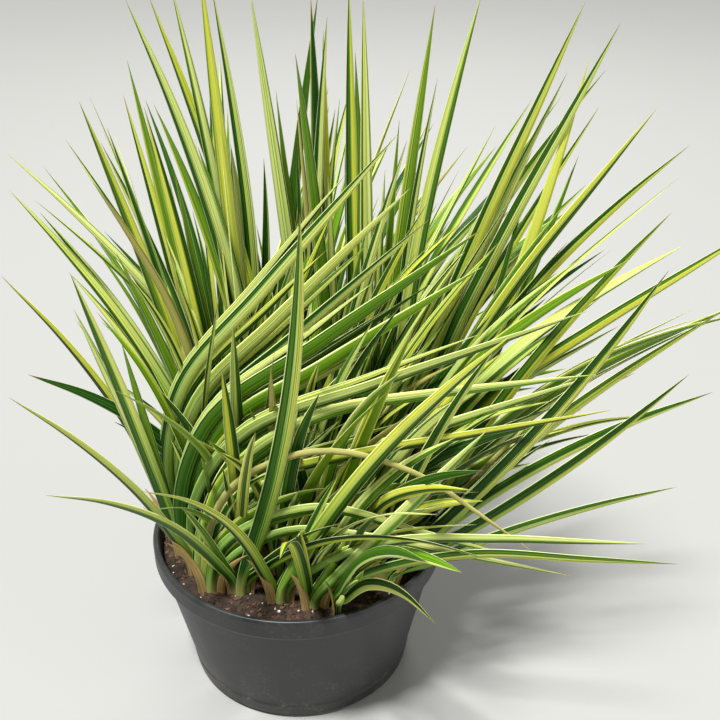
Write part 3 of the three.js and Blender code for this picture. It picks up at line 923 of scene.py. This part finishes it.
# %% Make the plastic
pot_finish, nodes, pot_shader = new_material("charcoal_plastic")
place = nodes.add("ShaderNodeTexCoord").outputs["Object"]
cooled = use_group(nodes, mottle, {"Place": place, "Scale": 22.0, "Fine share": 0.25})
grain = use_group(nodes, mottle, {"Place": place, "Scale": 900.0, "Fine share": 0.5})
colour = nodes.blend(cooled[0], paint(33, 35, 36), paint(44, 46, 47))
low_down = nodes.ramp(nodes.parts(place)[2], 50 * MM, 2 * MM)
speckle = {"Place": place, "Scale": 60.0, "Fine share": 0.55, "Low": 0.48, "High": 0.72}
spots = use_group(nodes, mottle, speckle)[0]
bloom = nodes.times(spots, nodes.math("MULTIPLY_ADD", low_down, 0.34, 0.1))
colour = nodes.blend(bloom, colour, paint(142, 134, 118))
rough = nodes.math("MULTIPLY_ADD", cooled[0], 0.1, 0.4)
rough = nodes.math("MULTIPLY_ADD", bloom, 0.5, rough, clamp=True)
relief = nodes.math("MULTIPLY_ADD", grain[1], 0.12, cooled[1])
dress(nodes, pot_shader, colour, rough, relief, strength=0.35, distance=0.6 * MM)
print("material:", pot_finish.name)

# %% Turn the pot
# Each point is [radius, height] in millimetres.
WALL = 2.2
FOOT_RING = [[62, 1.6], [64, 0], [78, 0], [80.6, 2.6]]
OUTSIDE = [[82.2, 12], [81.8, 13.6], [98.5, 92], [99.2, 95.4]]
BAND = [[103.2, 96.8], [103.9, 98.4], [103.9, 107], [104, 109.6]]
RIM = [[102.9, 112], [100.4, 112], [99.4, 110.4], [98.9, 103]]
INSIDE = [[82.2 - WALL - 0.9, 12], [80.6 - WALL, 5], [76.5, 3], [0, 3]]
pot = with_tree(
    "pot_shell",
    profile_mesh("pot_profile", [[0, 1.6]] + FOOT_RING + OUTSIDE + BAND + RIM + INSIDE),
    lathe,
    lathe_sockets,
    {"Segments": 160, "Corner radius": 1.1 * MM, "Finish": pot_finish},
)
facing_out(pot)
print("pot:", len(pot.data.polygons), "faces")

# %% Drill the pot's floor
HOLES = 5
HOLE_RADIUS = 5.5 * MM
HOLE_CIRCLE = 54 * MM
DRILL = {"segments": 32, "radius1": HOLE_RADIUS, "radius2": HOLE_RADIUS, "depth": 20 * MM}
drill = bmesh.new()
for i in range(HOLES):
    turn = 2 * math.pi * i / HOLES
    made = bmesh.ops.create_cone(drill, cap_ends=True, **DRILL)
    middle = HOLE_CIRCLE * math.cos(turn), HOLE_CIRCLE * math.sin(turn), 0
    bmesh.ops.translate(drill, verts=made["verts"], vec=middle)
drill_mesh = bpy.data.meshes.new("drill")
drill.to_mesh(drill_mesh)
drill.free()
drill_object = scene_object("drill", drill_mesh)
cut = pot.modifiers.new("holes", "BOOLEAN")
cut.object = drill_object
cut.solver = "EXACT"
made_plain(pot)
bpy.data.objects.remove(drill_object)
pot.data.set_sharp_from_angle(angle=math.radians(40))
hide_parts("pot")
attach(pot, "root")
print("drilled pot:", len(pot.data.polygons), "faces")

# %% [markdown]
# ## The potting mix
#
# Pond plants stand in a heavy, dark mix of bark, grit and some perlite. Its body is turned like the pot,
# then a second tree roughens the top: two sizes of noise for the crumb, and a low heap around every fan's
# foot, where the mix was pressed in. Loose pieces are scattered over it: fine crumbs, flat chips of bark and
# a few pale grains.

# %% Make the finishes of the mix
def earthy(name, dark, light, scale, roughness, distance):
    """A rough, mottled natural finish."""
    material, nodes, shader = new_material(name)
    place = nodes.add("ShaderNodeTexCoord").outputs["Object"]
    mottled = use_group(nodes, mottle, {"Place": place, "Scale": scale, "Fine share": 0.5})
    slow_patches = use_group(nodes, mottle, {"Place": place, "Scale": scale / 9, "Fine share": 0.3})
    colour = nodes.blend(mottled[0], paint(*dark), paint(*light))
    shade = nodes.blend(slow_patches[0], (0.55, 0.55, 0.55, 1), (1.25, 1.25, 1.25, 1))
    colour = nodes.blend(1.0, colour, shade, "MULTIPLY")
    rough = nodes.math("MULTIPLY_ADD", mottled[0], -0.12, roughness)
    dress(nodes, shader, colour, rough, mottled[1], strength=0.9, distance=distance)
    return material


soil_finish = earthy("damp_mix", (28, 20, 14), (74, 56, 40), 260.0, 0.95, 1.2 * MM)
bark_finish = earthy("bark_chips", (52, 32, 20), (120, 84, 56), 380.0, 0.9, 0.6 * MM)
grain_finish = earthy("pale_grains", (196, 190, 176), (236, 234, 226), 600.0, 0.9, 0.4 * MM)
print("materials:", soil_finish.name, bark_finish.name, grain_finish.name)

# %% Build the tree that roughens the ground
TOP_FROM = 96 * MM

ground, ground_sockets, nodes, given = geometry_tree(
    "Rough ground",
    {
        "Ground": ("Geometry", None),
        "Feet": ("Object", None),
        "Relief": ("Float", 1.5 * MM),
        "Heap": ("Float", 3.2 * MM),
        "Reach": ("Float", 15 * MM),
        "From height": ("Float", TOP_FROM),
        "Seed": ("Float", 4.0),
        "Finish": ("Material", None),
    },
    "Rough",
)
feet = nodes.add("GeometryNodeObjectInfo", {"Object": given["Feet"]}).outputs["Geometry"]
nearest = nodes.add("GeometryNodeProximity", {"Target": feet}, target_element="POINTS").outputs["Distance"]
position = nodes.first("GeometryNodeInputPosition")
on_top = nodes.math("GREATER_THAN", nodes.parts(position)[2], given["From height"])
seeded = {"Vector": position, "W": given["Seed"]}
coarse = {**seeded, "Scale": 95.0, "Detail": 3.0}
lumps = nodes.first("ShaderNodeTexNoise", coarse, noise_dimensions="4D")
crumb = nodes.first("ShaderNodeTexNoise", {**seeded, "Scale": 420.0}, noise_dimensions="4D")
rise = nodes.math("ADD", nodes.times(lumps, 0.7), nodes.times(crumb, 0.3))
rise = nodes.times(nodes.math("SUBTRACT", rise, 0.6), nodes.times(given["Relief"], 2.5))
near = nodes.ramp(nearest, given["Reach"], 0.0)
rise = nodes.math("MULTIPLY_ADD", near, given["Heap"], rise)
rise = nodes.times(rise, on_top)
offset = nodes.first("ShaderNodeCombineXYZ", {2: rise})
rough = nodes.first("GeometryNodeSetPosition", {"Geometry": given["Ground"], "Offset": offset})
end_tree(nodes, rough, given["Finish"])
print("tree:", ground.name, len(ground.nodes), "nodes")

# %% Build the tree that scatters loose pieces
FULL_TURN = 6.283
SMOOTH_LUMP = {"Radius": 0.5, "Subdivisions": 1}

scatter, scatter_sockets, nodes, given = geometry_tree(
    "Scatter pieces",
    {
        "Ground": ("Geometry", None),
        "Pieces per square metre": ("Float", 20000.0),
        "Smallest": ("Vector", (1 * MM, 1 * MM, 1 * MM)),
        "Largest": ("Vector", (3 * MM, 3 * MM, 3 * MM)),
        "Tilt": ("Float", 0.5),
        "Raggedness": ("Float", 0.5 * MM),
        "Seed": ("Int", 1),
        "Finish": ("Material", None),
    },
    "Pieces",
)
normal = nodes.first("GeometryNodeInputNormal")
facing_up = nodes.math("GREATER_THAN", nodes.parts(normal)[2], 0.3)
spread = {
    "Mesh": given["Ground"],
    "Density": given["Pieces per square metre"],
    "Seed": given["Seed"],
    "Selection": facing_up,
}
points = nodes.first("GeometryNodeDistributePointsOnFaces", spread, distribute_method="RANDOM")


def random_vector(nodes, low, high, seed):
    inputs = {0: low, 1: high, "Seed": seed}
    return nodes.first("FunctionNodeRandomValue", inputs, data_type="FLOAT_VECTOR")


sizes = random_vector(nodes, given["Smallest"], given["Largest"], given["Seed"])
tilt = given["Tilt"]
most = nodes.first("ShaderNodeCombineXYZ", {0: tilt, 1: tilt, 2: FULL_TURN})
least = scaled(nodes, most, -1.0)
turn_seed = nodes.first("FunctionNodeIntegerMath", {0: given["Seed"], 1: 7})
turns = random_vector(nodes, least, most, turn_seed)
turns = nodes.first("FunctionNodeEulerToRotation", {0: turns})
lump = nodes.first("GeometryNodeMeshIcoSphere", SMOOTH_LUMP)
copies = {"Points": points, "Instance": lump, "Rotation": turns, "Scale": sizes}
pieces = nodes.first("GeometryNodeInstanceOnPoints", copies)
pieces = nodes.first("GeometryNodeRealizeInstances", {"Geometry": pieces})
position = nodes.first("GeometryNodeInputPosition")
ragged = nodes.add("ShaderNodeTexNoise", {"Vector": position, "Scale": 380.0}).outputs[1]
ragged = nodes.first("ShaderNodeVectorMath", {0: ragged, 1: (0.5, 0.5, 0.5)}, operation="SUBTRACT")
ragged = scaled(nodes, ragged, nodes.times(given["Raggedness"], 4.0))
pieces = nodes.first("GeometryNodeSetPosition", {"Geometry": pieces, "Offset": ragged})
end_tree(nodes, pieces, given["Finish"])
print("tree:", scatter.name, len(scatter.nodes), "nodes")

# %% Turn and roughen the mix
SOIL_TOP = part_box("potting_mix")[1][2] / MM
LEVEL_RADIUS = 93
RINGS = 62
body = [[radius, SOIL_TOP] for radius in np.linspace(0, LEVEL_RADIUS, RINGS)]
body += [[95, SOIL_TOP - 1], [97.1, SOIL_TOP - 3], [79.6, 6.4], [75, 3.3], [0, 3.3]]
mix = with_tree(
    "potting_mix_body",
    profile_mesh("mix_profile", body),
    lathe,
    lathe_sockets,
    {"Segments": 220, "Corner radius": 0.0, "Corner steps": 1, "Finish": soil_finish},
)
facing_out(mix)
feet_mesh = bpy.data.meshes.new("feet")
feet_mesh.from_pydata([(*fan_frame(found)[0][:2], SOIL_TOP * MM) for found in blades.values()], [], [])
feet_object = scene_object("feet", feet_mesh)
values = {"Feet": feet_object, "Finish": soil_finish}
mix = with_tree("potting_mix_ground", mix.data, ground, ground_sockets, values)
bpy.data.objects.remove(bpy.data.objects["potting_mix_body"])
bpy.data.objects.remove(feet_object)
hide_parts("potting_mix")
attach(mix, "root")
print("mix:", len(mix.data.polygons), "faces")

# %% Strew loose pieces over the mix
top = bmesh.new()
top.from_mesh(mix.data)
below = [face for face in top.faces if face.calc_center_median().z < TOP_FROM]
bmesh.ops.delete(top, geom=below, context="FACES")
top_mesh = bpy.data.meshes.new("top")
top.to_mesh(top_mesh)
top.free()
# Each row: name, seed, pieces per square metre, smallest and largest size in millimetres, tilt in radians,
# raggedness in millimetres and finish.
for name, seed, many, small, large, tilt, ragged, finish in (
    ("mix_crumbs", 10, 90000.0, (1.2, 1.2, 1), (3, 3, 2.2), 3.1, 0.5, soil_finish),
    ("mix_bark_chips", 14, 26000.0, (3, 1.6, 0.7), (8, 3.6, 1.6), 0.45, 0.5, bark_finish),
    ("mix_pale_grains", 15, 5000.0, (1.2, 1.2, 1), (2.8, 2.6, 2.4), 3.1, 0.4, grain_finish),
):
    values = {
        "Pieces per square metre": many,
        "Smallest": [v * MM for v in small],
        "Largest": [v * MM for v in large],
        "Tilt": tilt,
        "Raggedness": ragged * MM,
        "Seed": seed,
        "Finish": finish,
    }
    strewn = with_tree(name, top_mesh.copy(), scatter, scatter_sockets, values)
    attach(strewn, "root")
    print(name + ":", len(strewn.data.polygons), "faces")

# %% [markdown]
# ## The floor
#
# The plant stands on a plain pale floor, which is stage and not part of it.

# %% Lay the floor
floor_finish, nodes, floor_shader = new_material("pale_floor")
floor_shader.inputs["Base Color"].default_value = paint(164, 164, 161)
floor_shader.inputs["Roughness"].default_value = 0.8
HALF_FLOOR = 20.0
corners = [(x * HALF_FLOOR, y * HALF_FLOOR, 0) for x, y in ((-1, -1), (1, -1), (1, 1), (-1, 1))]
floor_mesh = bpy.data.meshes.new("floor")
floor_mesh.from_pydata(corners, [], [(0, 1, 2, 3)])
floor_mesh.materials.append(floor_finish)
floor = scene_object("floor", floor_mesh)
print("floor:", 2 * HALF_FLOOR, "metres wide")

# %% Finish
bpy.context.view_layer.update()
